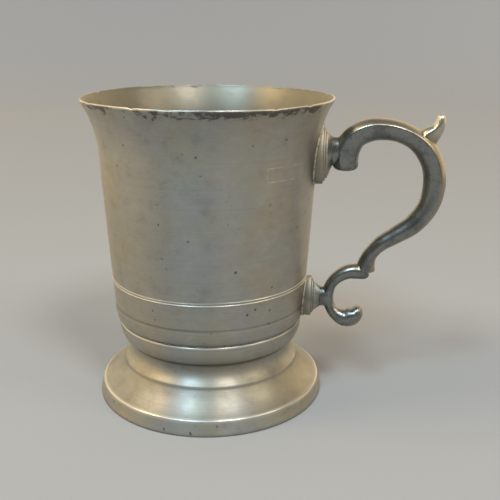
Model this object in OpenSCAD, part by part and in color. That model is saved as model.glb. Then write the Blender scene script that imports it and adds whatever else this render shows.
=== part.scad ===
// Pewter tankard that holds one imperial pint: a turned and flared drum on a
// spreading foot, with a cast scroll handle held by two pads. The joints are
// all soldered. Millimetres. Z is up, the foot stands on z = 0, and the handle
// points along +X.

/* [Drum] */
// Height of the tankard, foot to lip
height = 132; // [128:1:138]
// Thickness of the drum's wall
wall = 1.4; // [1.2:0.1:2.2]
// Radius of the drum at its fillet line
waist_r = 43.1; // [42.6:0.1:43.6]
// How far the lip flares past the straight drum
flare = 5.8; // [3:0.2:6]

/* [Foot] */
// Radius of the foot where it stands
foot_r = 50.8; // [50:0.2:54]
// Thickness of the foot's wall
foot_wall = 2; // [1.6:0.1:2.2]

/* [Handle] */
// Width of the handle across its outer face
handle_w = 10; // [9:0.5:12]
// Length of the tenon at each end of the handle
tenon_l = 3; // [2:0.1:3.2]

/* [Joints] */
// Thickness of each solder film
film = 0.25; // [0.15:0.05:0.3]

/* [Hidden] */
$fn = 96;

pewter = [0.60, 0.59, 0.55];
dark_pewter = [0.36, 0.37, 0.36];
pad_pewter = [0.55, 0.53, 0.47];
solder_grey = [0.66, 0.66, 0.64];

// Drum: its fillet line, the groove where its turn-in starts, and its flare
fillet_z = 54.6;
fillet_h = 0.6;
fillet_out = 0.3;
groove_z = 42.9;
groove_h = 0.7;
taper = 0.06;
flare_z = 105.6;
flare_power = 2.6;
lip_z = height - 1;

// Seam between drum and foot, with the spigot, the ledge and the floor disc
seam_z = 35.4;
booge_r = 42.6;
shoulder_r = 40.4;
spigot_r = 38.8;
spigot_z = seam_z - 3.8;
ledge_r = 36.6;
ledge_z = seam_z + 0.2;
recess_r = 39.6;
floor_t = 1.6;
floor_bead = 0.9;

// Foot, as [radius, height] from its collar down to its rim band
collar_top = [40.8, 34.6];
collar_low = [38.9, 27.1];
neck = [37.2, 25.8];
ridge = [39.3, 16.8];
ridge_foot = [39.5, 15.5];
rim_top = [49.3, 6.6];
rim_wall = 3.2;
neck_cove = 1.9;
rim_cove = 1.2;
collar_crown = -0.7;

// Pads: [tip height, low height, half width, face x, neck x, neck z low, neck z high, neck half width]
upper = [121.4, 95.9, 8.4, 49, 52.6, 103.8, 115.8, 4.1];
lower = [54.7, 36.2, 6.8, 45.6, 49.4, 40.4, 49.2, 3];
pad_tier = 0.8;
pad_step = 1.2;
tenon_r = 2.2;

// ---- outlines of the turned pieces, as [radius, height] ----

// Points of a shallow curve from a to b that sags by depth towards the axis and down
function sag(a, b, depth, steps) = let (d = b - a, n = [d[1], -d[0]] / norm(d))
    [for (k = [0:steps]) let (u = k / steps) a + d * u + n * depth * 4 * u * (1 - u)];

function drum_r(z) = waist_r + taper * (z - fillet_z)
    + flare * pow(max(0, z - flare_z) / (height - flare_z), flare_power);

// The turn-in under the groove is a quarter of an ellipse
function booge(a) = [shoulder_r + (booge_r - shoulder_r) * sin(a),
                     groove_z - (groove_z - seam_z) * cos(a)];

function drum_outside(grow) = [for (p = concat(
    [for (a = [0:15:90]) booge(a)],
    [[drum_r(groove_z + groove_h), groove_z + groove_h],
     [drum_r(fillet_z - fillet_h - fillet_out), fillet_z - fillet_h - fillet_out],
     [drum_r(fillet_z) + fillet_out, fillet_z - fillet_h],
     [drum_r(fillet_z) + fillet_out, fillet_z + fillet_h],
     [drum_r(fillet_z + fillet_h + fillet_out), fillet_z + fillet_h + fillet_out]],
    [for (k = [0:11]) let (z = flare_z + (lip_z - flare_z) * k / 11) [drum_r(z), z]]))
    p + [grow, 0]];

function lip() = [for (a = [15:15:165]) [drum_r(lip_z) - wall / 2 + wall / 2 * cos(a), lip_z + sin(a)]];

function drum_inside() = concat(
    [for (k = [11:-1:0]) let (z = flare_z + (lip_z - flare_z) * k / 11) [drum_r(z) - wall, z]],
    [[drum_r(groove_z) - wall, groove_z],
     [recess_r, ledge_z + floor_t + floor_bead],
     [recess_r, ledge_z],
     [ledge_r, ledge_z],
     [ledge_r, spigot_z],
     [spigot_r, spigot_z],
     [spigot_r, seam_z]]);

function foot_outside() = concat(
    [[foot_r, 0]],
    sag(rim_top, ridge_foot, -rim_cove, 8),
    sag(ridge, neck, -neck_cove, 6),
    sag(collar_low, collar_top, -collar_crown, 5),
    [[collar_top[0] - 0.1, seam_z - 0.4],
     [shoulder_r, seam_z - film]]);

function foot_inside() = concat(
    [[spigot_r + film, seam_z - film],
     [spigot_r + film, spigot_z - film],
     [ledge_r, spigot_z - film],
     [ledge_r, collar_low[1]]],
    sag([neck[0] - foot_wall, neck[1]], [ridge[0] - foot_wall, ridge_foot[1]], neck_cove, 5),
    sag([ridge[0] - foot_wall, ridge_foot[1] - 0.6], [foot_r - rim_wall, rim_top[1] - foot_wall], rim_cove, 6),
    [[foot_r - rim_wall, 0]]);

// ---- sweeps for the handle ----

// A smooth curve through rows of numbers, with n steps between rows
function row(rows, i) = rows[max(0, min(len(rows) - 1, i))];
function blend(a, b, c, d, t) =
    0.5 * (2 * b + (c - a) * t + (2 * a - 5 * b + 4 * c - d) * t * t + (3 * b - a - 3 * c + d) * t * t * t);
function smooth(rows, n) = concat(
    [for (i = [0:len(rows) - 2], k = [0:n - 1])
        blend(row(rows, i - 1), row(rows, i), row(rows, i + 1), row(rows, i + 2), k / n)],
    [rows[len(rows) - 1]]);

// Cross-section of the handle, as [outward, sideways] from -1 to 1: a crowned
// outer face with crisp edges, and sides that run in to a round back
crown_edge = 58;
scroll_section = concat(
    [for (k = [-3:3]) let (a = crown_edge * k / 3)
        [0.5 + 0.5 * (cos(a) - cos(crown_edge)) / (1 - cos(crown_edge)), sin(a) / sin(crown_edge)]],
    [for (a = [22.5:22.5:157.5]) [0.5 - 1.5 * sin(a), cos(a) * (0.72 + 0.28 * abs(cos(a)))]]);
round_section = [for (a = [0:30:330]) [cos(a), sin(a)]];

// Sweeps a section along rows of [x, z, half thickness, half width] in the XZ plane
module sweep(rows, section) {
    n = len(section);
    last = len(rows) - 1;
    function side(i) = let (a = rows[max(0, i - 1)], b = rows[min(last, i + 1)])
        [a[1] - b[1], b[0] - a[0]] / norm([b[0] - a[0], b[1] - a[1]]);
    points = [for (i = [0:last], s = section) let (r = rows[i], o = side(i) * s[0] * r[2])
        [r[0] + o[0], s[1] * r[3], r[1] + o[1]]];
    walls = [for (i = [0:last - 1], k = [0:n - 1]) let (a = i * n + k, b = i * n + (k + 1) % n)
        each [[a, b, b + n], [a, b + n, a + n]]];
    polyhedron(points, concat(walls, [[for (k = [n - 1:-1:0]) k], [for (k = [0:n - 1]) last * n + k]]));
}

hw = handle_w / 2;

// The upper scroll, from its rolled end beside the drum, over the top and down the S
upper_scroll = [
    [58.2, 101.7, 2.8, hw * 0.5],
    [58.2, 102.5, 4.6, hw * 0.8],
    [58.2, 104.1, 5.4, hw * 0.95],
    [58.1, 107.2, 5.4, hw],
    [58.7, 111.2, 5.5, hw],
    [62, 116.1, 5, hw],
    [68, 118.9, 4.8, hw],
    [74, 119.3, 4.5, hw],
    [80, 118.3, 4.3, hw],
    [86, 115.5, 4.3, hw],
    [91, 110.9, 4.6, hw],
    [94.4, 104, 4.6, hw],
    [95.3, 96, 4.7, hw],
    [93.5, 87.5, 4.5, hw],
    [88, 79.5, 4.2, hw * 0.95],
    [80.4, 74, 3.7, hw * 0.85],
    [74.6, 70.1, 3.3, hw * 0.8],
    [70.6, 65.4, 3.1, hw * 0.75],
    [69, 61, 3.7, hw * 0.75],
    [68.8, 57.8, 4.1, hw * 0.75]];

// The lower scroll, from its round end up to the nub that tucks under the S
lower_scroll = [
    [66.2, 40.8, 1.1, hw * 0.34],
    [66.1, 39.6, 2.2, hw * 0.62],
    [65.4, 37.6, 3.5, hw * 0.8],
    [63.6, 35.9, 4.2, hw * 0.84],
    [61, 35.1, 4, hw * 0.8],
    [58.4, 35.8, 3.4, hw * 0.72],
    [55.6, 37.8, 2.7, hw * 0.64],
    [53.7, 40.7, 2.3, hw * 0.6],
    [52.9, 44.2, 2.4, hw * 0.6],
    [53.1, 47.8, 2.5, hw * 0.62],
    [54.6, 51.6, 2.5, hw * 0.64],
    [57.6, 54.7, 2.8, hw * 0.66],
    [61.4, 56.7, 3.2, hw * 0.68],
    [65.6, 57.1, 3.4, hw * 0.7],
    [68.7, 56.2, 2.6, hw * 0.6],
    [70.3, 55.7, 1.2, hw * 0.4]];

// The thumb spur on the shoulder of the upper scroll
spur = [
    [90, 114.4, 4.4, hw * 0.8],
    [92.2, 117, 4, hw * 0.72],
    [94.6, 119.4, 2.9, hw * 0.63],
    [95.8, 121.8, 2.2, hw * 0.56],
    [96.1, 124, 1.8, hw * 0.46],
    [96, 125.3, 1.4, hw * 0.34],
    [95.9, 126.1, 0.7, hw * 0.18]];

// ---- shapes shared by pads, handle and solder ----

// Solid that fills the drum out to its outer surface, grown by a margin
module drum_solid(grow) {
    rotate(180) rotate_extrude() polygon(concat([[0, seam_z]], drum_outside(grow), [[0, lip_z]]));
}

// Extrudes a [Y, Z] outline along X, between two places
module along_x(from, to) {
    translate([from, 0, 0]) rotate([90, 0, 90]) linear_extrude(to - from) children();
}

// Pad outline: pointed tip, broad round foot
module shield(pad, inset) {
    rise = (pad[0] - pad[1]) * 0.7;
    side_r = (rise * rise + pad[2] * pad[2]) / (2 * pad[2]);
    low_r = (pad[0] - pad[1]) * 0.56;
    intersection() {
        translate([side_r - pad[2], pad[0] - rise]) circle(side_r - inset);
        translate([pad[2] - side_r, pad[0] - rise]) circle(side_r - inset);
        translate([0, pad[1] + low_r]) circle(low_r - inset);
    }
}

// Neck outline: an upright slot shape
module neck_outline(pad) {
    union() {
        translate([0, pad[5] + pad[7]]) circle(pad[7], $fn = 32);
        translate([0, pad[6] - pad[7]]) circle(pad[7], $fn = 32);
        translate([-pad[7], pad[5] + pad[7]]) square([2 * pad[7], pad[6] - pad[5] - 2 * pad[7]]);
    }
}

module tenon(pad, radius, length) {
    translate([pad[4] - length, 0, (pad[5] + pad[6]) / 2]) rotate([0, 90, 0]) cylinder(length, radius, radius);
}

module pad_casting(pad) {
    difference() {
        union() {
            along_x(pad[3] - 14, pad[3]) shield(pad, 0);
            along_x(pad[3], pad[3] + pad_tier) shield(pad, pad_step);
            hull() {
                along_x(pad[3] + pad_tier - 0.1, pad[3] + pad_tier) shield(pad, 2 * pad_step, $fn = 32);
                along_x(pad[4] - 0.4, pad[4]) neck_outline(pad);
            }
        }
        drum_solid(film);
        tenon(pad, tenon_r + film, tenon_l + film);
    }
}

module pad_film(pad) {
    intersection() {
        along_x(pad[3] - 14, pad[3]) shield(pad, -0.5);
        difference() {
            drum_solid(film);
            drum_solid(0);
        }
    }
}

module tenon_film(pad) {
    difference() {
        tenon(pad, tenon_r + film, tenon_l + film);
        tenon(pad, tenon_r, tenon_l);
    }
}

// ---- nodes ----

module drum() {
    color(pewter) rotate_extrude() polygon(concat(drum_outside(0), lip(), drum_inside()));
}

module floor_disc() {
    color(pewter) translate([0, 0, ledge_z]) cylinder(floor_t, recess_r - film, recess_r - film);
}

module foot() {
    color(pewter) rotate_extrude() polygon(concat(foot_outside(), foot_inside()));
}

module handle() {
    color(dark_pewter) union() {
        sweep(smooth(upper_scroll, 4), scroll_section);
        sweep(smooth(lower_scroll, 3), scroll_section);
        sweep(smooth(spur, 2), round_section);
        along_x(upper[4], upper[4] + 4) neck_outline(upper);
        along_x(lower[4], lower[4] + 2.6) neck_outline(lower);
        tenon(upper, tenon_r, tenon_l);
        tenon(lower, tenon_r, tenon_l);
    }
}

module upper_pad() {
    color(pad_pewter) pad_casting(upper);
}

module lower_pad() {
    color(pad_pewter) pad_casting(lower);
}

module floor_solder() {
    top = ledge_z + floor_t;
    edge = recess_r - film;
    color(solder_grey) rotate_extrude() polygon([
        [edge, ledge_z], [recess_r, ledge_z], [recess_r, top + floor_bead],
        [edge - floor_bead, top], [edge, top]]);
}

module foot_solder() {
    color(solder_grey) rotate_extrude() polygon([
        [ledge_r, spigot_z - film], [spigot_r + film, spigot_z - film], [spigot_r + film, seam_z - film],
        [shoulder_r, seam_z - film], [shoulder_r, seam_z], [spigot_r, seam_z], [spigot_r, spigot_z],
        [ledge_r, spigot_z]]);
}

module upper_pad_solder() {
    color(solder_grey) pad_film(upper);
}

module lower_pad_solder() {
    color(solder_grey) pad_film(lower);
}

module upper_tenon_solder() {
    color(solder_grey) tenon_film(upper);
}

module lower_tenon_solder() {
    color(solder_grey) tenon_film(lower);
}

drum();
floor_disc();
foot();
handle();
upper_pad();
lower_pad();
floor_solder();
foot_solder();
upper_pad_solder();
lower_pad_solder();
upper_tenon_solder();
lower_tenon_solder();
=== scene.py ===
"""A pewter tankard: a turned drum and foot, a cast scroll handle on two stepped pads, and the
solder that joins them. Shapes are worked out in millimetres and turned to metres in add_piece();
the stage, lights and camera are in metres. The handle points along +X, and turned shapes are
outlines of (radius, height) spun round Z."""
import math

import bpy
import numpy as np
from mathutils import Matrix, Vector
from mathutils.kdtree import KDTree


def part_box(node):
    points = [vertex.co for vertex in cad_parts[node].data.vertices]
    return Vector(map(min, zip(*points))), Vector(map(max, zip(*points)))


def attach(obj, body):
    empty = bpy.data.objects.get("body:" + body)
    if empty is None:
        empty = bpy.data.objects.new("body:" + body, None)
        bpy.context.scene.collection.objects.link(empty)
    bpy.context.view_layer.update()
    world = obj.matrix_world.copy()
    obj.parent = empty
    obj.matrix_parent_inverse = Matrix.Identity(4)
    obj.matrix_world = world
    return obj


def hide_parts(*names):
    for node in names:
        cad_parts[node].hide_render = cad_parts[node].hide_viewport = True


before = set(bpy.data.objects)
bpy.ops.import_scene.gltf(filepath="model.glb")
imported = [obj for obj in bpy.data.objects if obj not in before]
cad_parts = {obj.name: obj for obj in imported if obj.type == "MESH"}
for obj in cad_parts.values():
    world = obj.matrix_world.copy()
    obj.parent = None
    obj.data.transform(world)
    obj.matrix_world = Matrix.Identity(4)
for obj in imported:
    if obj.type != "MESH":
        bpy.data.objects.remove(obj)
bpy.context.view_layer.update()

MM = 0.001
CAMERA_SIDE = -80  # where the camera stands round Z, in degrees from the handle
LAMP_DISTANCE = 2.1


# ---- sizes, from the frame where it has them ----

def low(node):
    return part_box(node)[0] / MM


def high(node):
    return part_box(node)[1] / MM


HEIGHT = high("drum").z
LIP_R = high("drum").x
FOOT_R = high("foot").x
FILM = high("floor_solder").x - high("floor_disc").x
SEAM_Z = high("foot").z + FILM
FLOOR_Z = high("floor_disc").z
RECESS_R = high("floor_solder").x
SPIGOT_LOW = low("drum").z

# The drum's wall, taper and flare, which the frame doesn't give
WALL = 1.4
TAPER = 0.06
FLARE_Z = 105.6
FLARE = 5.8
FLARE_POWER = 2.6
STRAIGHT_R = LIP_R - FLARE * ((HEIGHT - 1 - FLARE_Z) / (HEIGHT - FLARE_Z)) ** FLARE_POWER

# The drum's double line and groove, its seat in the foot, and the floor disc with its solder bead
LINE_Z = 54.6
LINE_GAP = 0.6
GROOVE_Z = 42.9
SHOULDER_R = 40.4
SPIGOT_R = 38.8
LEDGE_R = 36.6
FLOOR_T = 1.6
FLOOR_BEAD = 0.9

# The foot's wall, and the thicker wall of its rim band
FOOT_WALL = 2
RIM_WALL = 3.2


# ---- outlines ----

def drum_r(z):
    """Radius of the drum's outside at a height on its wall."""
    rise = np.maximum(0, z - FLARE_Z) / (HEIGHT - FLARE_Z)
    return STRAIGHT_R + TAPER * (z - HEIGHT + 1) + FLARE * rise ** FLARE_POWER


def rounded(corners, steps=5):
    """Points through (radius, height, rounding) corners, with each corner rounded off."""
    points = [np.array(corners[0][:2], float)]
    for before, corner, after in zip(corners, corners[1:], corners[2:]):
        here = np.array(corner[:2], float)
        back = np.array(before[:2], float) - here
        on = np.array(after[:2], float) - here
        reach = min(corner[2], 0.45 * np.linalg.norm(back), 0.45 * np.linalg.norm(on))
        start = here + back / np.linalg.norm(back) * reach
        end = here + on / np.linalg.norm(on) * reach
        for t in np.linspace(0, 1, steps if reach > 0 else 1):
            points.append((1 - t) ** 2 * start + 2 * t * (1 - t) * here + t ** 2 * end)
    points.append(np.array(corners[-1][:2], float))
    return points


def cove(start, end, depth, steps):
    """Points between two places on a curve that sags by depth, without its ends."""
    start, end = np.array(start, float), np.array(end, float)
    across = np.array([end[1] - start[1], start[0] - end[0]]) / np.linalg.norm(end - start)
    return [(*(start + (end - start) * u + across * depth * 4 * u * (1 - u)), 0)
            for u in np.linspace(0, 1, steps)[1:-1]]


def spaced(points, gap):
    """The same line with extra points, so that no two neighbours are further apart than gap."""
    line = [points[0]]
    for start, end in zip(points, points[1:]):
        count = max(1, math.ceil(np.linalg.norm(end - start) / gap))
        line += [start + (end - start) * k / count for k in range(1, count + 1)]
    return np.array(line)


def near(points, places, reach):
    """1 at the places and falling to 0 over reach, for each point of an outline."""
    gaps = np.linalg.norm(points[:, None] - np.array(places, float)[None], axis=2).min(axis=1)
    return np.exp(-(gaps / reach) ** 2)


# ---- meshes ----

def quads(rings, count, first=0):
    """Faces between neighbouring rings of count points each, numbered from first."""
    return [(a + k, a + (k + 1) % count, a + count + (k + 1) % count, a + count + k)
            for a in range(first, first + (rings - 1) * count, count) for k in range(count)]


def capped(rings, count):
    """The same, with the first and the last ring closed by a flat face."""
    last = (rings - 1) * count
    return quads(rings, count) + [tuple(range(count - 1, -1, -1)), tuple(range(last, last + count))]


def add_piece(name, points, faces, marks):
    """A mesh piece on the body, from points in millimetres, with a float attribute for each mark."""
    mesh = bpy.data.meshes.new(name)
    mesh.from_pydata(np.asarray(points, float) * MM, [], faces)
    for mark, values in marks.items():
        attribute = mesh.attributes.new(mark, "FLOAT", "POINT")
        attribute.data.foreach_set("value", np.asarray(values, np.float32))
    mesh.shade_smooth()
    mesh.validate()
    piece = bpy.data.objects.new(name, mesh)
    bpy.context.scene.collection.objects.link(piece)
    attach(piece, "root")
    return piece


def spin(name, outline, segments, marks, shape=None):
    """A closed outline spun round Z. shape(angle, radius, height) says what to add to both sizes."""
    rings = len(outline)
    angle = np.tile(np.arange(segments) * 2 * np.pi / segments, (rings, 1))
    radius = np.repeat(outline[:, :1], segments, axis=1)
    height = np.repeat(outline[:, 1:], segments, axis=1)
    if shape:
        more_radius, more_height = shape(angle, radius, height)
        radius, height = radius + more_radius, height + more_height
    points = np.stack([radius * np.cos(angle), radius * np.sin(angle), height], -1).reshape(-1, 3)
    faces = [tuple(point % len(points) for point in face) for face in quads(rings + 1, segments)]
    steps = np.linalg.norm(np.diff(outline, axis=0), axis=1)
    marks = dict(marks, along=np.concatenate([[0], np.cumsum(steps)]) * MM)
    marks = {mark: np.repeat(values, segments) for mark, values in marks.items()}
    return add_piece(name, points, faces, marks)


def bump(angle, radius, height, centre, width, tall):
    """A soft round hump, 1 at its centre (angle in degrees, height) and 0 outside it."""
    turn = (angle - math.radians(centre[0]) + np.pi) % (2 * np.pi) - np.pi
    return np.exp(-(turn * radius / width) ** 2 - ((height - centre[1]) / tall) ** 2)


# ---- drum ----

# Nicks as (degrees, width, depth), and dents as (degrees, height, width, depth)
LIP_NICKS = [(107, 1.6, 0.55), (118, 1.2, 0.2), (61, 2.0, 0.25), (-112, 1.1, 0.3), (-97, 2.4, 0.2),
             (-52, 1.5, 0.3), (-33, 1.2, 0.35), (-141, 1.8, 0.25), (20, 2.2, 0.3), (168, 1.4, 0.4)]
DENTS = [(-118, 96, 7, 0.22), (-96, 80, 9, 0.15), (-63, 101, 6, 0.16), (-40, 72, 8, 0.2), (-20, 95, 6, 0.18),
         (45, 60, 8, 0.3), (80, 110, 6, 0.3), (120, 85, 9, 0.3), (160, 66, 7, 0.35), (-155, 112, 6, 0.25)]


def drum_shape(angle, radius, height):
    """Marks of long use: a lip that is no longer quite flat or round, nicks and shallow dents."""
    up = np.clip((height - FLARE_Z) / (HEIGHT - FLARE_Z), 0, 1) ** 2
    wave = 0.12 * np.sin(2 * angle + 0.6) + 0.07 * np.sin(5 * angle + 2) + 0.04 * np.sin(11 * angle)
    more_radius = up * (wave - 0.15)
    more_height = up * (0.09 * np.sin(3 * angle + 1) + 0.05 * np.sin(8 * angle) - 0.12)
    for place, width, depth in LIP_NICKS:
        more_height -= depth * bump(angle, radius, height, (place, HEIGHT), width, 1.2)
    for place, level, width, depth in DENTS:
        more_radius -= depth * bump(angle, radius, height, (place, level), width, 1.3 * width)
    # the upper line is worn away on one side, from the back round to about -78 degrees
    upper_line = np.exp(-((height - LINE_Z - LINE_GAP) / 0.2) ** 2) * (radius > drum_r(height) - 0.5)
    kept = 0.5 + 0.5 * np.tanh((np.degrees(angle - np.pi) % 360 - 180 + 78) / 14)
    return more_radius + 0.3 * upper_line * (kept - 1), more_height


def make_drum():
    """The cup's wall: up its outside from the spigot, over the lip and down its inside."""
    turn_in_r = drum_r(GROOVE_Z) + 0.05
    drop = GROOVE_Z - SEAM_Z
    corners = [(LEDGE_R, SPIGOT_LOW, 0), (SPIGOT_R, SPIGOT_LOW, 0.1), (SPIGOT_R, SEAM_Z, 0.1),
               (SHOULDER_R - 0.2, SEAM_Z, 0.1)]
    corners += [(SHOULDER_R + (turn_in_r - SHOULDER_R) * math.sin(a), GROOVE_Z - drop * math.cos(a), 0.2)
                for a in np.radians([8, 20, 35, 50, 65, 80])]
    corners += [(drum_r(GROOVE_Z - 0.5), GROOVE_Z - 0.5, 0.3), (drum_r(GROOVE_Z) - 0.16, GROOVE_Z, 0.3),
                (drum_r(GROOVE_Z + 0.6), GROOVE_Z + 0.6, 0.4)]
    for level in (LINE_Z - LINE_GAP, LINE_Z + LINE_GAP):
        corners += [(drum_r(level - 0.35), level - 0.35, 0.1), (drum_r(level) + 0.28, level - 0.05, 0.2),
                    (drum_r(level + 0.35), level + 0.3, 0.1)]
    walls = np.linspace(FLARE_Z - 3, HEIGHT - 1.2, 14)
    corners += [(drum_r(z), z, 1) for z in walls]
    corners += [(LIP_R, HEIGHT - 0.7, 0.3), (LIP_R - 0.15, HEIGHT - 0.15, 0.3),
                (LIP_R - 0.6, HEIGHT - 0.05, 0.3), (LIP_R - 1, HEIGHT - 0.6, 0.5)]
    corners += [(drum_r(z) - WALL, z, 1) for z in walls[::-1]]
    corners += [(drum_r(GROOVE_Z) - WALL, GROOVE_Z, 1), (RECESS_R, FLOOR_Z + FLOOR_BEAD, 0.5),
                (RECESS_R, FLOOR_Z - FLOOR_T, 0.1), (LEDGE_R, FLOOR_Z - FLOOR_T, 0.1),
                (LEDGE_R, SPIGOT_LOW, 0)]
    outline = spaced(rounded(corners), 0.7)[:-1]
    crest = np.argmax(outline[:, 1])
    order = np.arange(len(outline))
    edges = [(LIP_R - 0.1, HEIGHT - 0.2), (LIP_R - 0.4, HEIGHT - 0.1)]
    lines = [(drum_r(LINE_Z + gap) + 0.2, LINE_Z + gap) for gap in (-LINE_GAP, LINE_GAP)]
    hollows = [(drum_r(GROOVE_Z) - 0.1, GROOVE_Z)]
    # The lip and the two raised lines are brightened, as rubbed metal and a painted highlight along these
    # edges; the groove and the seam into the foot are darkened, as grime and painted shade in these hollows.
    marks = {"wear": np.maximum(near(outline, edges, 0.3), near(outline, lines, 0.25)),
             "grime": np.maximum(0.4 * near(outline, hollows, 0.5),
                                 near(outline, [(SHOULDER_R, SEAM_Z)], 1.0)),
             "inside": order > crest + 3}
    piece = spin("drum_body", outline, 640, marks, drum_shape)
    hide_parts("drum")
    return piece


# ---- floor disc ----

def make_floor():
    """The disc that closes the cup, dished a little, with faint turning rings."""
    rim = RECESS_R - FILM
    low_z = low("floor_disc").z
    corners = [(0.01, low_z, 0), (rim, low_z, 0.15), (rim, FLOOR_Z, 0.15)]
    corners += [(r, FLOOR_Z + 0.05 * math.cos(r / 2.3) - 0.05 - 0.25 * (1 - (r / rim) ** 2), 0.5)
                for r in np.linspace(rim - 1, 0.01, 24)]
    outline = spaced(rounded(corners), 1)
    # Darker round the floor's edge, as grime and painted shade in the corner inside the cup.
    marks = {"wear": np.zeros(len(outline)), "grime": near(outline, [(rim, FLOOR_Z)], 3),
             "inside": np.ones(len(outline))}
    piece = spin("drum_floor", outline, 256, marks)
    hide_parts("floor_disc")
    return piece


# ---- foot ----

COLLAR_TOP = (40.8, 34.6)
COLLAR_LOW = (38.9, 27.1)
NECK = (37.2, 25.8)
RIDGE = (39.3, 16.8)
RIDGE_FOOT = (39.5, 15.5)
RIM_TOP = (49.3, 6.6)
NECK_COVE = 1.9
RIM_COVE = 1.2

# Bruises on the rim, as (degrees, width, depth)
FOOT_BRUISES = [(-128, 3, 0.3), (-74, 2.2, 0.2), (-38, 3, 0.35), (35, 4, 0.4), (150, 3, 0.4)]


def foot_shape(angle, radius, height):
    """Marks of long use: a rim that is bruised and a little uneven."""
    out = np.clip((radius - NECK[0]) / (FOOT_R - NECK[0]), 0, 1)
    more_radius = -0.12 * out + 0.08 * out * np.sin(3 * angle + 1.3)
    for place, width, depth in FOOT_BRUISES:
        more_radius -= depth * bump(angle, radius, height, (place, 4), width, 3) * out
    return more_radius, 0 * height


def make_foot():
    """The hollow foot: up its outside from the rim, over the seat in its collar and down its inside."""
    joint = SEAM_Z - FILM
    corners = [(FOOT_R - RIM_WALL, 0, 0), (FOOT_R - 0.2, 0, 0.4), (FOOT_R, 0.5, 0.4), (*RIM_TOP, 0.9)]
    corners += cove(RIM_TOP, RIDGE_FOOT, -RIM_COVE, 18)
    corners += [(*RIDGE_FOOT, 0.7), (*RIDGE, 0.8)]
    corners += cove(RIDGE, NECK, -NECK_COVE, 14)
    corners += [(*NECK, 0.6), (*COLLAR_LOW, 0.5)]
    corners += cove(COLLAR_LOW, COLLAR_TOP, 0.7, 9)
    corners += [(*COLLAR_TOP, 0.2), (SHOULDER_R, joint, 0.2), (SPIGOT_R + FILM, joint, 0.1),
                (SPIGOT_R + FILM, SPIGOT_LOW - FILM, 0.1), (LEDGE_R, SPIGOT_LOW - FILM, 0.2),
                (LEDGE_R, COLLAR_LOW[1], 0.6)]
    neck_in = (NECK[0] - FOOT_WALL, NECK[1])
    ridge_in = (RIDGE[0] - FOOT_WALL, RIDGE_FOOT[1])
    rim_in = (FOOT_R - RIM_WALL, RIM_TOP[1] - FOOT_WALL)
    corners += [(*neck_in, 0.6)] + cove(neck_in, ridge_in, NECK_COVE, 10)
    corners += [(*ridge_in, 1)] + cove(ridge_in, rim_in, RIM_COVE, 12)
    corners += [(*rim_in, 0.8), (FOOT_R - RIM_WALL, 0, 0)]
    outline = spaced(rounded(corners), 0.7)[:-1]
    under = np.arange(len(outline)) > np.argmax(outline[:, 1]) + 3
    # Darker at the neck under the collar and at the drum's seat, as grime and painted shade under the collar;
    # a faint painted shade under the ridge; and a painted contact shadow along the rim's bottom edge.
    soiled_and_shaded = near(outline, [NECK, (SHOULDER_R, joint)], 0.9) + 0.12 * near(outline, [RIDGE_FOOT], 0.5)
    soiled_and_shaded = np.maximum(soiled_and_shaded, 0.5 * near(outline, [(FOOT_R, 0)], 0.9))
    # Brighter along the rim's top edge and the collar's top edge, as rubbed metal and a painted highlight
    # along these edges.
    marks = {"wear": np.maximum(near(outline, [RIM_TOP], 0.8), near(outline, [COLLAR_TOP], 0.35)) * ~under,
             "grime": soiled_and_shaded * ~under,
             "inside": under}
    piece = spin("foot_body", outline, 640, marks, foot_shape)
    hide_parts("foot")
    return piece


# ---- handle ----

HALF_WIDTH = high("handle").y
NECK_L = 3.5
NECK_SPREAD = 1.12

# [x, z, half thickness, half width, how crisp the outer face's edges are]
UPPER_SCROLL = [
    [58.2, 101.8, 2.7, 0.48 * HALF_WIDTH, 0],
    [58.2, 102.5, 4.6, 0.80 * HALF_WIDTH, 0.1],
    [58.2, 104.1, 5.4, 0.95 * HALF_WIDTH, 0.3],
    [58.1, 107.2, 5.4, HALF_WIDTH, 0.5],
    [58.7, 111.2, 5.5, HALF_WIDTH, 0.7],
    [62.0, 116.1, 5.0, HALF_WIDTH, 0.9],
    [68.0, 118.9, 4.8, HALF_WIDTH, 1],
    [74.0, 119.3, 4.5, HALF_WIDTH, 1],
    [80.0, 118.3, 4.3, HALF_WIDTH, 1],
    [86.0, 115.5, 4.3, HALF_WIDTH, 1],
    [91.0, 110.9, 4.6, HALF_WIDTH, 1],
    [94.4, 104.0, 4.6, HALF_WIDTH, 1],
    [95.3, 96.0, 4.7, HALF_WIDTH, 1],
    [93.5, 87.5, 4.5, HALF_WIDTH, 0.8],
    [88.0, 79.5, 4.2, 0.95 * HALF_WIDTH, 0.4],
    [80.4, 74.0, 3.7, 0.85 * HALF_WIDTH, 0.2],
    [74.6, 70.1, 3.3, 0.80 * HALF_WIDTH, 0.2],
    [70.6, 65.4, 3.1, 0.75 * HALF_WIDTH, 0.3],
    [69.0, 61.0, 3.7, 0.75 * HALF_WIDTH, 0.5],
    [68.8, 57.8, 4.1, 0.75 * HALF_WIDTH, 0.6]]

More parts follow.
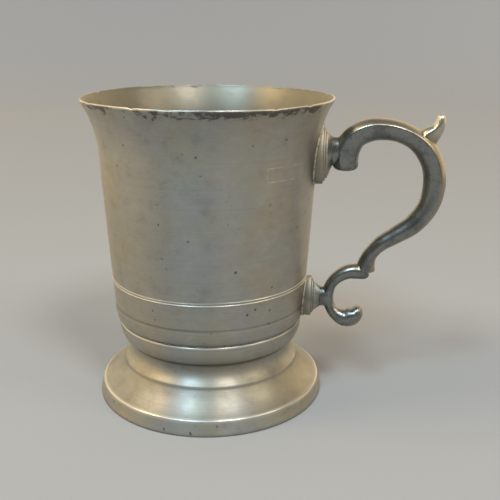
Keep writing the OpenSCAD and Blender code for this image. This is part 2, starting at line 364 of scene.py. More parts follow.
LOWER_SCROLL = [
    [66.2, 40.8, 1.1, 0.34 * HALF_WIDTH, 0],
    [66.1, 39.6, 2.2, 0.62 * HALF_WIDTH, 0],
    [65.4, 37.6, 3.5, 0.80 * HALF_WIDTH, 0],
    [63.6, 35.9, 4.2, 0.84 * HALF_WIDTH, 0],
    [61.0, 35.1, 4.0, 0.80 * HALF_WIDTH, 0],
    [58.4, 35.8, 3.4, 0.72 * HALF_WIDTH, 0],
    [55.6, 37.8, 2.7, 0.64 * HALF_WIDTH, 0],
    [53.7, 40.7, 2.3, 0.60 * HALF_WIDTH, 0],
    [52.9, 44.2, 2.4, 0.60 * HALF_WIDTH, 0],
    [53.1, 47.8, 2.5, 0.62 * HALF_WIDTH, 0],
    [54.6, 51.6, 2.5, 0.64 * HALF_WIDTH, 0.1],
    [57.6, 54.7, 2.8, 0.66 * HALF_WIDTH, 0.2],
    [61.4, 56.7, 3.2, 0.68 * HALF_WIDTH, 0.3],
    [65.6, 57.1, 3.4, 0.70 * HALF_WIDTH, 0.2],
    [68.7, 56.2, 2.6, 0.60 * HALF_WIDTH, 0],
    [70.3, 55.7, 1.2, 0.40 * HALF_WIDTH, 0]]

SPUR = [
    [90.0, 114.4, 4.4, 0.80 * HALF_WIDTH, 0.9],
    [92.2, 117.0, 4.0, 0.72 * HALF_WIDTH, 0.9],
    [94.6, 119.4, 2.9, 0.63 * HALF_WIDTH, 0.8],
    [95.8, 121.8, 2.2, 0.56 * HALF_WIDTH, 0.7],
    [96.1, 124.0, 1.8, 0.46 * HALF_WIDTH, 0.4],
    [96.0, 125.3, 1.4, 0.34 * HALF_WIDTH, 0.2],
    [95.9, 126.0, 0.6, 0.18 * HALF_WIDTH, 0]]

# Degrees from the middle of the outer face to its edge, on the crisp section and on the round one
CROWN_EDGE = 58
ROUND_EDGE = 68
HANDLE_VOXEL = 0.24


def smooth_rows(rows, steps):
    """A smooth curve through rows of numbers, with so many steps between two rows."""
    rows = np.array([rows[0]] + list(rows) + [rows[-1]], float)
    out = []
    for a, b, c, d in zip(rows, rows[1:], rows[2:], rows[3:]):
        for t in np.arange(steps) / steps:
            out.append(0.5 * (2 * b + (c - a) * t + (2 * a - 5 * b + 4 * c - d) * t ** 2
                              + (3 * b - a - 3 * c + d) * t ** 3))
    return np.array(out + [rows[-1]])


def handle_section():
    """A crisp and a round section, as matching (outward, sideways) points."""
    edge = math.radians(CROWN_EDGE)
    crown = np.linspace(-edge, edge, 15)
    back = np.linspace(0, np.pi, 26)[1:-1]
    crisp = [(0.5 + 0.5 * (math.cos(a) - math.cos(edge)) / (1 - math.cos(edge)), math.sin(a) / math.sin(edge))
             for a in crown]
    crisp += [(0.5 - 1.5 * math.sin(a), math.cos(a) * (0.72 + 0.28 * abs(math.cos(a)))) for a in back]
    wrap = math.radians(ROUND_EDGE)
    turns = np.concatenate([crown * wrap / edge, wrap + back * (2 * np.pi - 2 * wrap) / np.pi])
    round_ = [(math.cos(a), math.sin(a)) for a in turns]
    return np.array(crisp), np.array(round_)


def tube(rows, steps):
    """A scroll, its section swept along the rows: its points, faces, centres and outward directions."""
    rows = smooth_rows(rows, steps)
    crisp, round_ = handle_section()
    ahead = np.gradient(rows[:, :2], axis=0)
    ahead /= np.linalg.norm(ahead, axis=1, keepdims=True)
    outward = np.stack([-ahead[:, 1], ahead[:, 0]], -1)
    points = []
    for (x, z, thick, wide, sharp), out in zip(rows, outward):
        section = round_ + (crisp - round_) * sharp
        points += [(x + out[0] * s[0] * thick, s[1] * wide, z + out[1] * s[0] * thick) for s in section]
    return points, capped(len(rows), len(crisp)), rows[:, :2], outward


def stub(x_from, x_to, half_width, z_low, z_high):
    """A short upright-oval bar along X, where the handle meets a pad or enters it."""
    turns = np.linspace(0, 2 * np.pi, 33)[:-1]
    middle, tall = (z_low + z_high) / 2, (z_high - z_low) / 2
    outline = [(half_width * math.cos(a), middle + tall * math.sin(a)) for a in turns]
    points = [(x, y, z) for x in (x_from, x_to) for y, z in outline]
    return points, capped(2, len(outline))


def merge(parts):
    """One list of points and one of faces, from several closed shapes."""
    points, faces = [], []
    for part in parts:
        faces += [tuple(len(points) + k for k in face) for face in part[1]]
        points += list(part[0])
    return points, faces


def fuse(points, faces, voxel, smoothing):
    """Melts closed shapes that overlap into one skin, with its creases a little soft."""
    mesh = bpy.data.meshes.new("fuse")
    mesh.from_pydata(np.asarray(points, float), [], faces)
    rough = bpy.data.objects.new("fuse", mesh)
    bpy.context.scene.collection.objects.link(rough)
    remesh = rough.modifiers.new("remesh", "REMESH")
    remesh.mode, remesh.voxel_size = "VOXEL", voxel
    soften = rough.modifiers.new("soften", "SMOOTH")
    soften.factor, soften.iterations = 0.5, smoothing
    melted = rough.evaluated_get(bpy.context.evaluated_depsgraph_get()).to_mesh()
    points = np.array([vertex.co for vertex in melted.vertices], float)
    faces = [tuple(polygon.vertices) for polygon in melted.polygons]
    bpy.data.objects.remove(rough)
    return points, faces


def necks_and_tenons():
    """The bars that land on the pads' necks, and the tenons that enter the pads."""
    stubs = []
    for node, pad in PADS.items():
        neck_x = high(node).x
        half_width, z_low, z_high = pad["neck"]
        stubs.append(stub(neck_x - 0.2, neck_x + NECK_L, NECK_SPREAD * half_width, z_low, z_high))
    for node in ("upper_tenon_solder", "lower_tenon_solder"):
        start, end = low(node), high(node)
        stubs.append(stub(start.x + FILM, end.x + 1, end.y - FILM, start.z + FILM, end.z - FILM))
    return stubs


def outer_mark(points, scrolls):
    """How far each point lies towards the scrolls' outer face, faded out near the upper pad."""
    line = KDTree(sum(len(scroll[2]) for scroll in scrolls))
    outward = []
    for scroll in scrolls:
        for centre, out in zip(scroll[2], scroll[3]):
            line.insert((centre[0], 0, centre[1]), len(outward))
            outward.append(out)
    line.balance()
    pad_end = high("upper_pad").x
    outer = []
    for point in points:
        centre, index, _ = line.find((point[0], 0, point[2]))
        side = Vector((point[0] - centre[0], point[2] - centre[2]))
        beyond_pad = min(1, max(0, (point[0] - pad_end) / 6 - 0.5))
        outer.append(side.dot(Vector(outward[index])) / 4.5 * beyond_pad)
    return outer


def make_handle():
    scrolls = [tube(UPPER_SCROLL, 8), tube(LOWER_SCROLL, 6)]
    spur = tube(SPUR, 6)
    points, faces = fuse(*merge(scrolls + [spur] + necks_and_tenons()), HANDLE_VOXEL, 4)
    piece = add_piece("scroll_handle", points, faces, {"outer": outer_mark(points, scrolls)})
    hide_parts("handle")
    return piece


# ---- pads and the solder round them ----

# face is where the first tier ends along X, and neck is [half width, low, high] of the pad's end
PADS = {"upper_pad": {"face": 49, "neck": [4.1, 103.8, 115.8]},
        "lower_pad": {"face": 45.6, "neck": [3, 40.4, 49.2]}}
TIER = 0.8  # how far each tier rises from the one before
STEP = 1.2  # how far each tier is set in from the one before
ROUND_SAMPLES = 200


def shield(node, inset, turns):
    """Distance from a pad's middle to its outline in each direction: a pointed top, a broad round foot."""
    half, z_low, z_high = high(node).y, low(node).z, high(node).z
    rise = (z_high - z_low) * 0.7
    side_r = (rise ** 2 + half ** 2) / (2 * half)
    foot_r = (z_high - z_low) * 0.56
    circles = [(side_r - half, z_high - rise, side_r), (half - side_r, z_high - rise, side_r),
               (0, z_low + foot_r, foot_r)]
    middle = (z_low + z_high) / 2 - 1
    away = np.stack([np.cos(turns), np.sin(turns)], -1)
    reaches = []
    for y, z, radius in circles:
        offset = np.array([-y, middle - z])
        along = away @ offset
        reaches.append(-along + np.sqrt(along ** 2 - offset @ offset + (radius - inset) ** 2))
    return sum(r ** -18.0 for r in reaches) ** (-1 / 18), middle


def oval(half, z_low, z_high, middle, turns):
    """Distance from a pad's middle to the outline of its neck."""
    tall, centre = (z_high - z_low) / 2, (z_high + z_low) / 2
    reach = 1 / (np.abs(np.cos(turns) / half) ** 2.6 + np.abs(np.sin(turns) / tall) ** 2.6) ** (1 / 2.6)
    return reach + (centre - middle) * np.sin(turns)


def wall_x(y, z, grow):
    """X of the drum's outside at a place on the handle's side."""
    return np.sqrt((drum_r(np.minimum(z, HEIGHT - 1)) + grow) ** 2 - y ** 2)


def stack(name, rings, marks):
    """A closed piece from rings of points, each end closed by a fan."""
    count = len(rings[0])
    ends = [ring.mean(axis=0, keepdims=True) for ring in (rings[0], rings[-1])]
    points = np.concatenate([ends[0], *rings, ends[1]])
    faces = [(0, 1 + (k + 1) % count, 1 + k) for k in range(count)] + quads(len(rings), count, 1)
    last = 1 + (len(rings) - 1) * count
    faces += [(last + k, last + (k + 1) % count, last + count) for k in range(count)]
    marks = {mark: np.concatenate([values[:1], np.repeat(values, count), values[-1:]])
             for mark, values in marks.items()}
    return add_piece(name, points, faces, marks)


def make_pad(node):
    """A pad in three tiers with a cone to its neck, and its back cut to the drum."""
    pad = PADS[node]
    turns = np.arange(ROUND_SAMPLES) * 2 * np.pi / ROUND_SAMPLES
    neck_x = high(node).x
    neck_reach = oval(*pad["neck"], shield(node, 0, turns)[1], turns)
    rings, wear, grime = [], [], []

    # Each ring says how far it is brightened, as rubbed metal and a painted highlight on the tiers' edges,
    # and how far it is darkened, as grime and painted shade against the drum, in the steps and towards the
    # neck.
    def ring(reach, middle, x, worn=0, dirt_and_shade=0):
        """Adds a ring at x, or against the drum where x is 0."""
        y, z = reach * np.cos(turns), middle + reach * np.sin(turns)
        back = wall_x(y, z, FILM)
        rings.append(np.stack([np.maximum(x, back + 0.12) if x else back, y, z], -1))
        wear.append(worn)
        grime.append(dirt_and_shade)

    for share in (0.3, 0.6, 0.85):
        reach, middle = shield(node, 0, turns)
        ring(reach * share, middle, 0)
    for inset in (0, 0.02):
        ring(*shield(node, inset, turns), 0, dirt_and_shade=0.8)
    for tier in range(3):
        x, inset = pad["face"] + TIER * tier, STEP * tier
        if tier:
            ring(*shield(node, inset - 0.25, turns), x - TIER + 0.02, dirt_and_shade=0.8)
            ring(*shield(node, inset, turns), x - TIER + 0.1, dirt_and_shade=0.5)
        ring(*shield(node, inset + 0.02, turns), x - 0.4)
        ring(*shield(node, inset + 0.14, turns), x - 0.14, worn=0.6)
        ring(*shield(node, inset + 0.45, turns), x, worn=0.3)
    top_reach, middle = shield(node, 2 * STEP + 0.3, turns)
    start = pad["face"] + 2 * TIER
    for share in np.linspace(0, 1, 12)[1:]:
        reach = top_reach + (neck_reach - top_reach) * share
        ring(reach, middle, start + (neck_x - start) * share, dirt_and_shade=0.3 * share ** 3)
    marks = {"wear": np.array(wear, float), "grime": np.array(grime, float)}
    piece = stack(node + "_casting", rings, marks)
    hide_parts(node)
    return piece


def make_bead(node, seed):
    """The solder that has run out round a pad: a film under it and an uneven bead at its edge."""
    turns = np.arange(ROUND_SAMPLES) * 2 * np.pi / ROUND_SAMPLES
    rng = np.random.RandomState(seed)
    waves = (3, 5, 8, 13, 21)
    swell = sum(rng.uniform(0.3, 1) * np.sin(k * turns + rng.uniform(0, 6.28)) for k in waves) / 5
    out = 0.5 + 0.22 * swell
    # share of the pad's reach, inset, and rise off the drum
    section = [(0.4, 0, 0), (0.8, 0, 0), (1, 0.1, 0), (1, -1, 0), (1, -0.9, 0.12), (1, -0.5, 0.4),
               (1, 0.02, 0.75), (1, 0.3, 0.2), (0.8, 0.4, 0.2), (0.4, 0.4, 0.2)]
    rings = []
    for share, inset, rise in section:
        reach, middle = shield(node, 0, turns)
        reach = reach * share - (inset * out if inset < 0 else inset)
        y, z = reach * np.cos(turns), middle + reach * np.sin(turns)
        rings.append(np.stack([wall_x(y, z, rise * (0.8 + 0.3 * swell) + 0.01), y, z], -1))
    piece = stack(node + "_bead", rings, {"wear": np.zeros(len(rings))})
    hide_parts(node + "_solder")
    return piece


# ---- materials ----

class Paint:
    """A node material, built a node at a time. Methods return the socket that carries their result."""

    def __init__(self, name):
        self.material = bpy.data.materials.new(name)
        self.material.use_nodes = True
        self.tree = self.material.node_tree
        self.shader = self.tree.nodes["Principled BSDF"]
        self.shader.inputs["Metallic"].default_value = 1
        self.place = self.add("TexCoord").outputs["Object"]

    def add(self, kind, inputs=(), **settings):
        node = self.tree.nodes.new("ShaderNode" + kind)
        for name, value in settings.items():
            setattr(node, name, value)
        for key, value in dict(inputs).items():
            self.put(node.inputs[key], value)
        return node

    def put(self, socket, value):
        if isinstance(value, bpy.types.NodeSocket):
            self.tree.links.new(value, socket)
        else:
            socket.default_value = value

    def math(self, operation, a, b=0.0, c=0.0):
        return self.add("Math", {0: a, 1: b, 2: c}, operation=operation).outputs[0]

    def mask(self, value, start, end):
        """0 at start, 1 at end, smooth between them."""
        inputs = {"Value": value, "From Min": start, "From Max": end}
        return self.add("MapRange", inputs, interpolation_type="SMOOTHSTEP").outputs[0]

    def mark(self, name):
        return self.add("Attribute", attribute_name=name).outputs["Fac"]

    def scaled(self, vector, scale):
        return self.add("VectorMath", {0: vector, 1: scale}, operation="MULTIPLY").outputs[0]

    def noise(self, vector, scale, detail=2.0, rough=0.5):
        inputs = {"Vector": vector, "Scale": scale, "Detail": detail, "Roughness": rough}
        return self.add("TexNoise", inputs).outputs["Fac"]

    def tint(self, colour, over, amount, most=1.0):
        """colour, turning to over by amount. At amount 1 it has turned by most."""
        node = self.add("Mix", data_type="RGBA")
        self.put(node.inputs[0], self.math("MULTIPLY", amount, most))
        self.put(node.inputs[6], colour)
        self.put(node.inputs[7], over)
        return node.outputs[2]

    def turned(self, around, along):
        """A vector that changes slowly round the axis and fast along the outline."""
        flat = self.add("SeparateXYZ", {0: self.place})
        parts = {0: self.math("MULTIPLY", flat.outputs[0], around),
                 1: self.math("MULTIPLY", flat.outputs[1], around),
                 2: self.math("MULTIPLY", self.mark("along"), along)}
        return self.add("CombineXYZ", parts).outputs[0]

    def spots(self, places):
        """1 in soft round spots. places are (x, y, z, radius) in millimetres."""
        wander = self.add("TexNoise", {"Vector": self.place, "Scale": 900.0}).outputs["Color"]
        shift = {0: wander, 1: (WANDER * MM,) * 3, 2: self.place}
        moved = self.add("VectorMath", shift, operation="MULTIPLY_ADD").outputs[0]
        found = 0.0
        for x, y, z, radius in places:
            centre = ((x + WANDER / 2) * MM, (y + WANDER / 2) * MM, (z + WANDER / 2) * MM)
            gap = self.add("VectorMath", {0: moved, 1: centre}, operation="DISTANCE").outputs["Value"]
            found = self.math("MAXIMUM", found, self.mask(gap, radius * MM, 0.5 * radius * MM))
        return found

    def finish(self, colour, roughness, height, depth):
        """Joins the results to the shader. depth is how tall the bumps are, in millimetres."""
        self.put(self.shader.inputs["Base Color"], colour)
        self.put(self.shader.inputs["Roughness"], roughness)
        relief = self.add("Bump", {"Height": height, "Distance": depth * MM, "Strength": 1.0})
        self.put(self.shader.inputs["Normal"], relief.outputs[0])
        return self.material


# How far noise moves a spot's edge, in millimetres
WANDER = 1.5

OXIDE_AND_SHADE = (0.075, 0.072, 0.066, 1)
BRIGHT = (0.80, 0.79, 0.75, 1)

TURNED_GREY = (0.43, 0.435, 0.42, 1)
TURNED_KHAKI = (0.47, 0.42, 0.30, 1)
DARK_SMEAR = (0.29, 0.29, 0.265, 1)
PALE_SMEAR = (0.55, 0.55, 0.53, 1)
LATHE_LINE = (0.28, 0.28, 0.26, 1)
SHADED_INSIDE = (0.20, 0.188, 0.15, 1)

HANDLE_GREY = (0.27, 0.28, 0.27, 1)
HANDLE_TARNISH = (0.25, 0.26, 0.25, 1)
HANDLE_TAN_AND_REFLECTION = (0.38, 0.32, 0.22, 1)
THUMBED_AND_HIGHLIGHT = (0.62, 0.59, 0.51, 1)
PAD_GREY = (0.38, 0.39, 0.36, 1)
PAD_TARNISH = (0.33, 0.305, 0.235, 1)
SOLDER_PALE = (0.55, 0.53, 0.46, 1)
SOLDER_DARK = (0.26, 0.25, 0.22, 1)

# The middle of the part of the spur that a thumb rubs and that carries a painted highlight, and its radius
THUMB_AND_HIGHLIGHT_SPOT = (95.5, 0, 123, 9)

# The stamped panel, as the angle of its middle and its sizes
PANEL_TURN = math.radians(-40)
PANEL_Z = 105.6
PANEL_HALF_WIDTH = 9.4
PANEL_HALF_HEIGHT = 2.7

# Pits and stains, as (degrees, height, radius)
DRUM_PITS = [(-123, 117, 0.6), (-130, 108, 0.6), (-92, 115, 0.45), (-86, 114, 0.6), (-84, 107, 0.5),
             (-106, 95, 0.45), (-106, 87, 0.5), (-91, 81, 0.55), (-67, 68, 0.8), (-71, 88, 0.4),
             (-49, 94, 0.45), (-72, 97, 0.35), (-105, 73, 0.45), (-103, 69, 0.45), (-113, 64, 0.4),
             (-60, 118, 0.5), (-103, 128, 0.6), (-117, 128, 0.7), (-42, 119, 0.7), (-45, 59, 0.5),
             (-113, 50, 0.6), (-112, 46, 0.5), (-55, 51, 0.75), (-60, 49, 0.75), (-46, 49, 0.5),
             (-46, 43, 0.7), (-80, 42, 0.5), (-28, 82, 0.5), (-140, 78, 0.6), (-150, 101, 0.7)]
FOOT_PITS = [(-103, 2.0, 0.7), (-90, 1.5, 0.8), (-78, 4.5, 0.5), (-138, 4.0, 0.8), (-71, 25, 0.6),
             (-135, 12, 0.6), (-55, 12, 0.5), (-30, 9, 0.7)]


def placed(pits, surface_r):
    """Pits as (x, y, z, radius), on a surface whose radius at a height is surface_r(height)."""
    return [(surface_r(z) * math.cos(math.radians(a)), surface_r(z) * math.sin(math.radians(a)), z, r)
            for a, z, r in pits]


def foot_surface_r(z):
    """Roughly the radius of the foot's outside at a height."""
    outline = np.array([(FOOT_R, 0), RIM_TOP, RIDGE_FOOT, RIDGE, NECK, COLLAR_TOP])
    return np.interp(z, outline[:, 1], outline[:, 0])


def lip_stains(paint):
    """Ragged oxide that hangs under the lip, thickest in patches."""
    height = paint.add("SeparateXYZ", {0: paint.place}).outputs[2]
    band = paint.mask(height, (HEIGHT - 5.4) * MM, (HEIGHT - 1.6) * MM)
    blots = paint.noise(paint.scaled(paint.place, (1.0, 1.0, 2.0)), 230.0, 5.0, 0.72)
    patches = paint.mask(paint.noise(paint.place, 48.0, 2.0), 0.3, 0.55)
    reach = paint.math("MULTIPLY_ADD", band, paint.math("MULTIPLY", patches, 0.2), -0.02)
    blots = paint.mask(paint.math("ADD", blots, reach), 0.58, 0.66)
    return paint.math("MULTIPLY", blots, paint.mask(band, 0.05, 0.5))


def stamped_panel(paint):
    """The outline of a small stamped panel beside the handle, worn almost away and left blank."""
    flat = paint.add("SeparateXYZ", {0: paint.place})
    turn = paint.math("ARCTAN2", flat.outputs[1], flat.outputs[0])
    turn = paint.math("SUBTRACT", turn, PANEL_TURN)
    across = paint.math("ABSOLUTE", paint.math("MULTIPLY", turn, STRAIGHT_R * MM))
    rise = paint.math("ABSOLUTE", paint.math("SUBTRACT", flat.outputs[2], PANEL_Z * MM))
    gap = paint.math("MAXIMUM", paint.math("SUBTRACT", across, PANEL_HALF_WIDTH * MM),
                     paint.math("SUBTRACT", rise, PANEL_HALF_HEIGHT * MM))
    edge = paint.mask(paint.math("ABSOLUTE", gap), 0.4 * MM, 0.1 * MM)
    worn = paint.mask(paint.noise(paint.place, 260.0, 3.0, 0.6), 0.42, 0.6)
    return paint.math("MULTIPLY", edge, worn)


def turned_pewter(name, pits, is_drum):
    """Satin turned pewter: lathe lines, khaki tarnish, smudges and pits, with edges brightened as worn metal
    and a painted highlight, hollows darkened as grime and painted shade, and the inside darkened as painted
    shade. The drum also has oxide under its lip and the faint stamped panel."""
    paint = Paint(name)
    inside = paint.mark("inside")
    outside = paint.math("SUBTRACT", 1.0, inside)
    fine = paint.noise(paint.turned(14.0, 2600.0), 1.0, 3.0, 0.6)
    coarse = paint.noise(paint.turned(25.0, 700.0), 1.0, 2.0, 0.5)
    clouds = paint.noise(paint.place, 38.0, 4.0, 0.55)
    smears = paint.noise(paint.scaled(paint.place, (1.0, 1.0, 1.3)), 120.0, 5.0, 0.7)
    speckle = paint.noise(paint.place, 1500.0, 2.0, 0.7)
    colour = paint.tint(TURNED_GREY, TURNED_KHAKI, paint.mask(clouds, 0.35, 0.65), 0.6)
    colour = paint.tint(colour, DARK_SMEAR, paint.mask(smears, 0.5, 0.72), 0.5)
    colour = paint.tint(colour, PALE_SMEAR, paint.mask(smears, 0.5, 0.3), 0.35)
    colour = paint.tint(colour, LATHE_LINE, paint.mask(fine, 0.5, 0.8), 0.35)
    # the last number dulls the whole surface a little, and the grime and painted shade of the hollows come on
    # top of that
    soiled_and_shaded = paint.math("MULTIPLY_ADD", paint.mark("grime"), paint.math("MULTIPLY", coarse, 1.2), 0.5)
    colour = paint.tint(colour, OXIDE_AND_SHADE, paint.mask(soiled_and_shaded, 0.2, 1.0), 0.75)
    grain = paint.math("MULTIPLY", paint.mask(speckle, 0.66, 0.76), 0.35)
    pitted = paint.math("MAXIMUM", paint.spots(pits), grain)
    if is_drum:
        pitted = paint.math("MAXIMUM", pitted, lip_stains(paint))
    pitted = paint.math("MULTIPLY", pitted, outside)
    colour = paint.tint(colour, OXIDE_AND_SHADE, pitted, 0.8)
    # Marked edges are brightened, as worn metal and a painted highlight.
    worn = paint.math("MULTIPLY", paint.mark("wear"), paint.mask(coarse, 0.25, 0.5))
    colour = paint.tint(colour, BRIGHT, worn, 0.7)
    # The inside of the cup, its floor and the underside of the foot are darkened as painted shade.
    colour = paint.tint(colour, SHADED_INSIDE, inside, 0.75)
    roughness = paint.math("MULTIPLY_ADD", smears, 0.14, 0.42)
    roughness = paint.math("SUBTRACT", roughness, paint.math("MULTIPLY", worn, 0.12))
    relief = paint.math("ADD", paint.math("MULTIPLY", fine, 0.5), paint.math("MULTIPLY", coarse, 0.8))
    relief = paint.math("SUBTRACT", relief, paint.math("MULTIPLY", pitted, 1.5))
    if is_drum:
        panel = paint.math("MULTIPLY", stamped_panel(paint), outside)
        relief = paint.math("ADD", relief, paint.math("MULTIPLY", panel, 3.0))
        colour = paint.tint(colour, BRIGHT, panel, 0.18)
    tangent = paint.add("Tangent", direction_type="RADIAL", axis="Z")
    paint.put(paint.shader.inputs["Tangent"], tangent.outputs[0])
    paint.put(paint.shader.inputs["Anisotropic"], paint.math("MULTIPLY_ADD", outside, 0.2, 0.5))
    paint.shader.inputs["Anisotropic Rotation"].default_value = 0.25
    return paint.finish(colour, roughness, relief, 0.02)


def cast_pewter(name, base, tarnish, roughness):
    """Cast pewter: clouded between a darker base and the tarnish, with a fine dark grain."""
    paint = Paint(name)
    clouds = paint.noise(paint.place, 110.0, 5.0, 0.65)
    grain = paint.noise(paint.place, 1300.0, 3.0, 0.7)
    dark = tuple(0.62 * channel for channel in base[:3]) + (1,)
    colour = paint.tint(base, dark, paint.mask(clouds, 0.4, 0.62))
    colour = paint.tint(colour, tarnish, paint.mask(clouds, 0.62, 0.4))
    colour = paint.tint(colour, OXIDE_AND_SHADE, paint.mask(grain, 0.55, 0.75), 0.45)
    rough = paint.math("MULTIPLY_ADD", grain, 0.3, roughness)
    return paint, colour, rough, paint.math("ADD", grain, clouds)


def handle_metal():
    """Dark grey sides, an outer face tinted tan as tarnish and a painted warm reflection, and a thumb spur
    worn bright with a painted highlight.
    """
    paint, colour, rough, relief = cast_pewter("cast_pewter_handle", HANDLE_GREY, HANDLE_TARNISH, 0.16)
    # The outer face is tinted tan, as tarnish and a painted warm reflection.
    colour = paint.tint(colour, HANDLE_TAN_AND_REFLECTION, paint.mask(paint.mark("outer"), 0.25, 0.75), 0.7)
    # The spur is lightened, as thumb wear and a painted highlight.
    colour = paint.tint(colour, THUMBED_AND_HIGHLIGHT, paint.spots([THUMB_AND_HIGHLIGHT_SPOT]), 0.6)
    return paint.finish(colour, rough, relief, 0.03)


def pad_metal():
    """Duller metal, darkened in the steps as tarnish and painted shade, with edges brightened as wear and a
    painted highlight.
    """
    paint, colour, rough, relief = cast_pewter("cast_pewter_pads", PAD_GREY, PAD_TARNISH, 0.38)
    # The marked steps are darkened as tarnish and painted shade, and the tiers' edges brightened as wear and
    # a painted highlight.
    colour = paint.tint(colour, OXIDE_AND_SHADE, paint.mark("grime"), 0.6)
    colour = paint.tint(colour, BRIGHT, paint.mark("wear"), 0.15)
    return paint.finish(colour, rough, relief, 0.03)


def solder_metal():
    """Dull lumpy solder, pale between its darker lumps."""
    paint = Paint("solder_grey")
    lumps = paint.noise(paint.place, 500.0, 3.0, 0.6)
    colour = paint.tint(SOLDER_PALE, SOLDER_DARK, paint.mask(lumps, 0.4, 0.7))
    roughness = paint.mask(lumps, -0.6, 1.4)
    return paint.finish(colour, roughness, lumps, 0.05)


def studio_paper():
    """Pale seamless paper with a faint tooth, darker near the tankard and paler far from it, which is painted
    light on the far backdrop.
    """
    paint = Paint("studio_paper")
    paint.shader.inputs["Metallic"].default_value = 0
    paint.shader.inputs["Specular IOR Level"].default_value = 0.2
    tooth = paint.noise(paint.place, 900.0, 3.0, 0.6)
    away = paint.add("VectorMath", {0: paint.place}, operation="LENGTH").outputs["Value"]
    # Painted light: darker near the tankard and paler far from it, to brighten the far backdrop.
    colour = paint.tint((0.32, 0.325, 0.34, 1), (0.44, 0.445, 0.47, 1), paint.mask(away, 0.3, 1.7))
    colour = paint.tint(colour, (0.30, 0.30, 0.31, 1), tooth, 0.25)
    return paint.finish(colour, 0.85, tooth, 0.02)


# ---- stage, lights and camera ----

def disc(name, outline, segments):
    """An open outline in metres spun round Z, for the floor and the backdrop."""
    angle = np.arange(segments) * 2 * np.pi / segments
    points = [(r * math.cos(a), r * math.sin(a), z) for r, z in outline for a in angle]
    mesh = bpy.data.meshes.new(name)
    mesh.from_pydata(points, [], quads(len(outline), segments))
    mesh.shade_smooth()
    made = bpy.data.objects.new(name, mesh)
    bpy.context.scene.collection.objects.link(made)
    return made


def make_stage():
    """A round floor whose paper bends up into a backdrop that only the camera sees."""
    reach, curve, top = 1.1, 0.5, 1.3
    floor = disc("floor", [(0.001, 0), (0.3, 0), (reach, 0)], 96)
    bend = [(reach + curve * math.sin(a), curve - curve * math.cos(a))
            for a in np.radians(np.linspace(0, 90, 16))]
    backdrop = disc("backdrop", bend + [(reach + curve, top)], 96)
    paper = studio_paper()
    for made in (floor, backdrop):
        made.data.materials.append(paper)
    backdrop.visible_glossy = False
    backdrop.visible_diffuse = False
    backdrop.visible_shadow = False


def around(side, rise, distance):
    """A place seen from the tankard: side in degrees from the camera's side, rise above the floor."""
    turn = math.radians(CAMERA_SIDE + side)
    flat = distance * math.cos(math.radians(rise))
    return Vector((flat * math.cos(turn), flat * math.sin(turn), distance * math.sin(math.radians(rise))))


def lamp(name, side, rise, width, tall, colour, power):
    """A soft rectangular lamp that faces the middle of the tankard."""
    data = bpy.data.lights.new(name, "AREA")
    data.shape = "RECTANGLE"
    data.size, data.size_y = width, tall
    data.color = colour
    data.energy = power
    made = bpy.data.objects.new(name, data)
    made.location = around(side, rise, LAMP_DISTANCE)
    aim = made.location - Vector((0, 0, HEIGHT / 2 * MM))
    made.rotation_euler = aim.to_track_quat("Z", "Y").to_euler()
    bpy.context.scene.collection.objects.link(made)


def make_lights():
    lamp("warm_lamp", -84, 50, 0.7, 0.5, (1.0, 0.75, 0.44), 15)
    lamp("window_lamp", -34, 55, 0.45, 0.6, (0.62, 0.86, 1.0), 21)
    lamp("white_lamp", 25, 55, 0.4, 0.6, (1.0, 0.98, 0.93), 19)
    lamp("side_lamp", 64, 38, 0.8, 0.8, (1.0, 0.86, 0.62), 10)


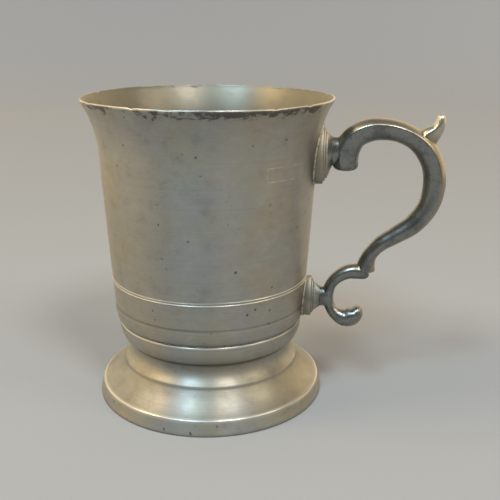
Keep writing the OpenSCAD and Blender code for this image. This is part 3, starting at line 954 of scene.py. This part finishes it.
def make_world():
    """A dim room: dark behind the camera, warm at both sides, paler above and behind the tankard."""
    world = bpy.data.worlds.new("room")
    bpy.context.scene.world = world
    world.use_nodes = True
    tree = world.node_tree
    light = tree.nodes["Background"]
    coords = tree.nodes.new("ShaderNodeTexCoord")

    def facing(direction):
        node = tree.nodes.new("ShaderNodeVectorMath")
        node.operation = "DOT_PRODUCT"
        tree.links.new(coords.outputs["Generated"], node.inputs[0])
        node.inputs[1].default_value = direction
        return node.outputs["Value"]

    def mixed(amount, start, end, colour, over):
        grade = tree.nodes.new("ShaderNodeMapRange")
        grade.interpolation_type = "SMOOTHSTEP"
        tree.links.new(amount, grade.inputs["Value"])
        grade.inputs["From Min"].default_value = start
        grade.inputs["From Max"].default_value = end
        mix = tree.nodes.new("ShaderNodeMix")
        mix.data_type = "RGBA"
        tree.links.new(grade.outputs[0], mix.inputs[0])
        for socket, value in ((mix.inputs[6], colour), (mix.inputs[7], over)):
            if isinstance(value, bpy.types.NodeSocket):
                tree.links.new(value, socket)
            else:
                socket.default_value = value
        return mix.outputs[2]

    room = mixed(facing(around(180, 0, 1)), -0.75, 0.3, (0.17, 0.175, 0.18, 1), (0.48, 0.47, 0.45, 1))
    room = mixed(facing(around(135, 0, 1)), 0.35, 0.95, room, (1.35, 1.08, 0.70, 1))
    room = mixed(facing(around(-120, -3, 1)), 0.38, 0.95, room, (1.65, 1.32, 0.82, 1))
    room = mixed(facing(Vector((0, 0, 1))), 0.5, 1.0, room, (0.30, 0.30, 0.30, 1))
    seen = tree.nodes.new("ShaderNodeLightPath")
    room = mixed(seen.outputs["Is Camera Ray"], 0.0, 1.0, room, (0.42, 0.41, 0.395, 1))
    tree.links.new(room, light.inputs["Color"])


def make_camera():
    data = bpy.data.cameras.new("camera")
    data.sensor_width = 36
    data.lens = 54
    data.clip_start = 0.01
    camera = bpy.data.objects.new("camera", data)
    bpy.context.scene.collection.objects.link(camera)
    distance, height = 0.3192, 0.1637
    place = around(0, 0, distance)
    place.z = height
    tilt, swing, roll = math.radians(90 - 17.34), math.radians(6.8), math.radians(0.26)
    camera.matrix_world = (Matrix.Translation(place) @ Matrix.Rotation(swing, 4, "Z")
                           @ Matrix.Rotation(tilt, 4, "X") @ Matrix.Rotation(roll, 4, "Z"))
    bpy.context.scene.camera = camera


# ---- the model ----

make_camera()
make_stage()
make_lights()
make_world()
bpy.context.scene.view_settings.view_transform = "Standard"

drum_pewter = turned_pewter("turned_pewter_drum", placed(DRUM_PITS, drum_r), True)
foot_pewter = turned_pewter("turned_pewter_foot", placed(FOOT_PITS, foot_surface_r), False)
handle_pewter = handle_metal()
pad_pewter = pad_metal()
solder = solder_metal()

make_drum().data.materials.append(drum_pewter)
make_floor().data.materials.append(drum_pewter)
make_foot().data.materials.append(foot_pewter)
make_handle().data.materials.append(handle_pewter)
for index, node in enumerate(PADS):
    make_pad(node).data.materials.append(pad_pewter)
    make_bead(node, index + 1).data.materials.append(solder)
for node in ("floor_solder", "foot_solder", "upper_tenon_solder", "lower_tenon_solder"):
    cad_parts[node].data.materials.clear()
    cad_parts[node].data.materials.append(solder)
